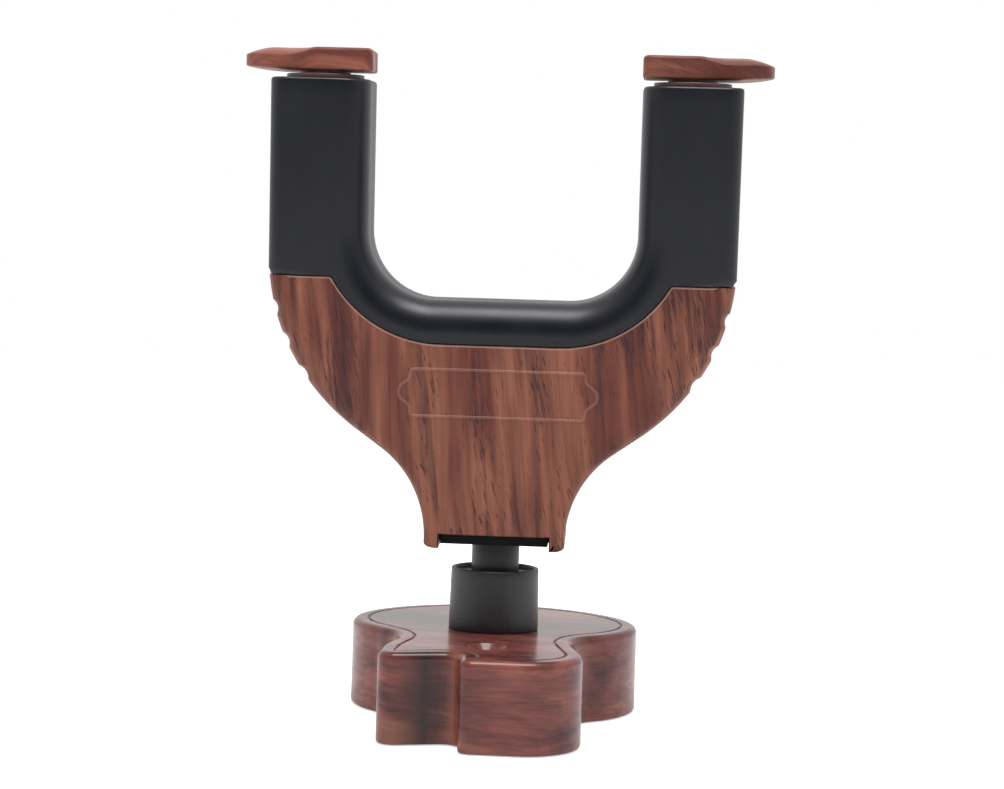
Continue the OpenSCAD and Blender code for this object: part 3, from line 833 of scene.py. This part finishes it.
def gate_outline():
    front = spline([(-7.6, -7.2), (-4, -7.2), (0.2, -7.2), (2.6, -6.75), (4.6, -6.0), (6.6, -5.95), (9.4, -6.5),
                    (12.6, -6.0), (15.4, -3.7), (16.58, 0.0), (16.52, 4.6), (15.1, 8.6), (11.8, 10.9), (7.0, 10.6),
                    (1.5, 8.8), (-4.0, 7.5), (-7.9, 7.2)])
    r = 2.2
    c1 = [(-8.3 + 1.8 * cs(a), 5.4 + 1.8 * sn(a)) for a in (105, 120, 135, 150, 165, 180)]
    straight = [(-10.1 - 0.28 * i / 10, 5.4 - 10.4 * i / 10) for i in range(1, 10)]
    c2 = [(-8.2 + r * cs(a), -5.0 + r * sn(a)) for a in (180, 195, 210, 225, 240, 255)]
    return front + c1 + straight + c2


def build_gate(side, name, material, node, body):
    s = Shape()
    pts = gate_outline()
    n = len(pts)
    z0 = ARM_TOP + 1.7
    top = 4.58
    norm = []
    for i in range(n):
        a, b = pts[i - 2], pts[(i + 2) % n]
        tx, ty = b[0] - a[0], b[1] - a[1]
        ln = math.hypot(tx, ty)
        norm.append((-ty / ln, tx / ln))

    def lobe(x, y):
        u = min(1.0, max(0.0, (x - 0.5 - max(0.0, y) * 0.25) / 6.5))
        return u * u * (3 - 2 * u)

    def ring(level):
        out = []
        for (x, y), (nx, ny) in zip(pts, norm):
            k = lobe(x, y)
            low = 0.55 * max(0.0, (x - 5) / 11.0) ** 2
            rim = 4.25 - 1.15 * k
            inset, z = level(k, low, rim)
            out.append((side * (ARM_X + x + nx * inset), y + ny * inset, z0 + z))
        return s.ring(out)

    rings = [
        ring(lambda k, low, rim: (0.55, low)),
        ring(lambda k, low, rim: (0.22, low + 0.06)),
        ring(lambda k, low, rim: (0.05, low + 0.22)),
        ring(lambda k, low, rim: (0.0, low + 0.5)),
        ring(lambda k, low, rim: (0.0, rim - 0.3)),
        ring(lambda k, low, rim: (0.05, rim - 0.12)),
        ring(lambda k, low, rim: (0.18, rim)),
    ]
    for j in range(1, 9):
        u = j / 8
        rings.append(ring(lambda k, low, rim, u=u: (
            0.18 + u * (0.45 + 4.6 * k), rim + (top - rim) * (u * (1.55 - 0.55 * u)))))
    s.loft(rings)
    hole = s.ring(circle(side * ARM_X, 0, z0 + top, 3.1, 36))
    hole2 = s.ring(circle(side * ARM_X, 0, z0 + top - 1.62, 1.5, 36))
    s.loft([hole, hole2])
    s.fill([rings[-1], hole])
    s.face(rings[0])
    ob = s.make(name, material, 38, lean=True)
    weighted(ob)
    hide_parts(node)
    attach(ob, body)


build_gate(-1, "gate_left_print", PRINT_GL, "gate_left", "left_gate")
build_gate(1, "gate_right_print", PRINT_GR, "gate_right", "right_gate")

# ------------------------------------------------------------------ carried-over CAD nodes

FINISH = {
    "collar": BLACK, "collar_washer": ZINC, "collar_nut": ZINC, "swivel_bush": NYLON, "lower_bush": NYLON,
    "thrust_washer": STEEL, "stem": BLACK, "tilt_head": BLACK_HEAD, "head_cross_pin": STEEL,
    "friction_washer": STEEL, "stem_nut": ZINC, "yoke_frame": CAST, "hinge_pin": STEEL, "shell_screws": BLACK,
    "upper_bush_left": BROWN, "upper_bush_right": BROWN, "arm_bush_left": NYLON, "arm_bush_right": NYLON,
    "guide_pins": STEEL, "return_spring": STEEL, "stop_pads": RUBBER, "crossbar": STEEL,
    "gate_shaft_left": SHAFT_SHADED, "gate_shaft_right": SHAFT_SHADED, "crank_left": STEEL, "crank_right": STEEL,
    "gate_screw_left": BLACK, "gate_screw_right": BLACK,
}
BEVEL = {"collar": 0.32, "stem": 0.15, "tilt_head": 0.25, "upper_bush_left": 0.18, "upper_bush_right": 0.18,
         "collar_nut": 0.3, "stem_nut": 0.3, "swivel_bush": 0.15, "shell_screws": 0.1, "crossbar": 0.2,
         "yoke_frame": 0.3, "collar_washer": 0.1}
for name, material in FINISH.items():
    ob = nodes[name]
    ob.data.materials.clear()
    ob.data.materials.append(material)
    if name in BEVEL:
        w = ob.modifiers.new("weld", "WELD")
        w.merge_threshold = 1e-6
        b = ob.modifiers.new("edges", "BEVEL")
        b.width = BEVEL[name] * 0.001
        b.segments = 3
        b.limit_method = "ANGLE"
        b.angle_limit = math.radians(40)
        b.harden_normals = True

# ------------------------------------------------------------------ studio

scene = bpy.context.scene
scene.view_settings.view_transform = "Standard"
scene.view_settings.look = "None"

floor_mat = Mat("studio_floor")
soft = floor_mat.noise(floor_mat.p, (0.004, 0.004, 0.004), (0, 0, 0), 2.0)
floor_mat.set(Base_Color=floor_mat.ramp(soft, [(0.3, (0.86, 0.86, 0.86)), (0.7, (0.90, 0.90, 0.90))]), Roughness=0.9,
              Emission_Color=(1.0, 1.0, 1.0))
floor_lp = floor_mat.t.nodes.new("ShaderNodeLightPath")
floor_mat.set(Emission_Strength=floor_mat.math("MULTIPLY_ADD", floor_lp.outputs["Is Camera Ray"], 0.45, 0.05))
bpy.ops.mesh.primitive_plane_add(size=8, location=(0, 0, -0.0002))
floor = bpy.context.object
floor.name = "studio_floor"
floor.data.materials.append(floor_mat.m)

# white room behind the object and a dimmer one in front of it
world = bpy.data.worlds.new("studio")
scene.world = world
world.use_nodes = True
wt = world.node_tree
bg = wt.nodes["Background"]
tc = wt.nodes.new("ShaderNodeTexCoord")
sep = wt.nodes.new("ShaderNodeSeparateXYZ")
wt.links.new(tc.outputs["Generated"], sep.inputs[0])
up = wt.nodes.new("ShaderNodeMath")
up.operation = "MULTIPLY_ADD"
wt.links.new(sep.outputs[2], up.inputs[0])
up.inputs[1].default_value = 0.35
wt.links.new(sep.outputs[1], up.inputs[2])
span = wt.nodes.new("ShaderNodeMapRange")
span.interpolation_type = "SMOOTHSTEP"
wt.links.new(up.outputs[0], span.inputs["Value"])
span.inputs["From Min"].default_value = -0.85
span.inputs["From Max"].default_value = 0.25
span.inputs["To Min"].default_value = 0.05
span.inputs["To Max"].default_value = 0.90
lp = wt.nodes.new("ShaderNodeLightPath")
pick = wt.nodes.new("ShaderNodeMix")
pick.data_type = "FLOAT"
wt.links.new(lp.outputs["Is Camera Ray"], pick.inputs[0])
wt.links.new(span.outputs["Result"], pick.inputs[2])
pick.inputs[3].default_value = 1.0
bg.inputs["Color"].default_value = (1.0, 1.0, 1.0, 1)
wt.links.new(pick.outputs[0], bg.inputs["Strength"])

YAW = math.radians(2.837)


def area(name, loc, target, size, power, size_y=None):
    li = bpy.data.lights.new(name, "AREA")
    li.energy = power
    li.size = size
    if size_y:
        li.shape = "RECTANGLE"
        li.size_y = size_y
    ob = bpy.data.objects.new(name, li)
    ob.location = loc
    ob.rotation_euler = (Vector(target) - Vector(loc)).to_track_quat("-Z", "Y").to_euler()
    scene.collection.objects.link(ob)
    return ob


for soft_box in (
    area("key", (-0.80, -0.62, 0.62), (0, 0, 0.09), 0.55, 2.55),
    area("fill", (0.85, -0.60, 0.50), (0, 0, 0.09), 0.55, 2.4),
):
    soft_box.visible_glossy = False
area("top", (0.05, -0.20, 1.0), (0, 0, 0.08), 0.5, 8.0)

cam_data = bpy.data.cameras.new("camera")
cam_data.sensor_width = 36
cam_data.lens = 36 * 2000 / 1004
cam_data.clip_start = 0.01
cam = bpy.data.objects.new("camera", cam_data)
scene.collection.objects.link(cam)
pos = Matrix.Rotation(YAW, 4, "Z") @ Vector((0.000314, -0.42128, 0.08166))
cam.matrix_world = (
    Matrix.Translation(pos)
    @ Matrix.Rotation(YAW, 4, "Z")
    @ Matrix.Rotation(math.radians(90 - 1.946), 4, "X")
    @ Matrix.Rotation(math.radians(1.8), 4, "Z")
)
scene.camera = cam
